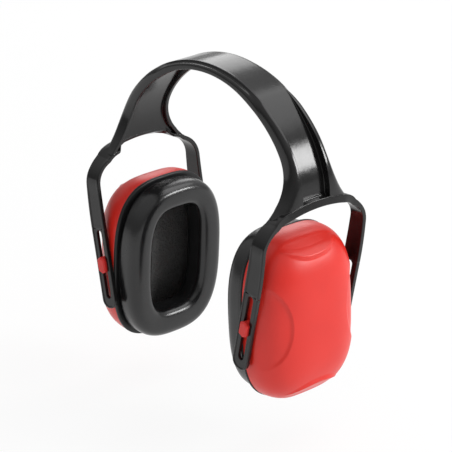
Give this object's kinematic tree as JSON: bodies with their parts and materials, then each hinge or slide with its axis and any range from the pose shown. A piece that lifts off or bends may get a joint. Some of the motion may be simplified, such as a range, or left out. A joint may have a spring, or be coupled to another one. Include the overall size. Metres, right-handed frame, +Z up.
{
  "type": "earmuff hearing protector",
  "caption": "Over-the-head earmuff hearing protector: forked plastic headband whose slotted arms carry oval cups on sliding, tilting studs.",
  "frame": {"origin": "middle of the underside of the crown, where the band rests on the head", "axes": "+Z up, X from ear to ear with the right cup at +X, +Y to the back of the head"},
  "size_m": [0.1778, 0.0908, 0.2],
  "materials": {
    "band_plastic": "glossy moulded black plastic",
    "shell_plastic": "satin-gloss moulded red plastic",
    "stud_plastic": "satin-gloss moulded red plastic",
    "plate_plastic": "satin moulded black plastic",
    "ring_plastic": "plain moulded black plastic",
    "cushion_skin": "smooth black plasticised skin over foam",
    "cushion_foam": "open-cell foam",
    "liner_foam": "open-cell black foam"
  },
  "bodies": {
    "headband": {"headband": "band_plastic"},
    "right_slider": {"right_front_stud": "stud_plastic", "right_rear_stud": "stud_plastic"},
    "right_cup": {"right_cup_shell": "shell_plastic", "right_back_plate": "plate_plastic", "right_cushion_ring": "ring_plastic", "right_cushion_foam": "cushion_foam", "right_cushion_skin": "cushion_skin", "right_foam_liner": "liner_foam"},
    "left_slider": {"left_front_stud": "stud_plastic", "left_rear_stud": "stud_plastic"},
    "left_cup": {"left_cup_shell": "shell_plastic", "left_back_plate": "plate_plastic", "left_cushion_ring": "ring_plastic", "left_cushion_foam": "cushion_foam", "left_cushion_skin": "cushion_skin", "left_foam_liner": "liner_foam"}
  },
  "joints": [
    {"name": "right_height_slide", "type": "slide", "parent": "headband", "child": "right_slider", "axis": [-0.2028, 0, -0.9792], "range_m": [-0.017, 0.017]},
    {"name": "right_cup_tilt", "type": "hinge", "parent": "right_slider", "child": "right_cup", "pos_m": [0.06587, 0, -0.13796], "axis": [0, -1, 0], "range_deg": [-10, 10]},
    {"name": "left_height_slide", "type": "slide", "parent": "headband", "child": "left_slider", "axis": [0.2028, 0, -0.9792], "range_m": [-0.017, 0.017]},
    {"name": "left_cup_tilt", "type": "hinge", "parent": "left_slider", "child": "left_cup", "pos_m": [-0.06587, 0, -0.13796], "axis": [0, 1, 0], "range_deg": [-10, 10]}
  ]
}
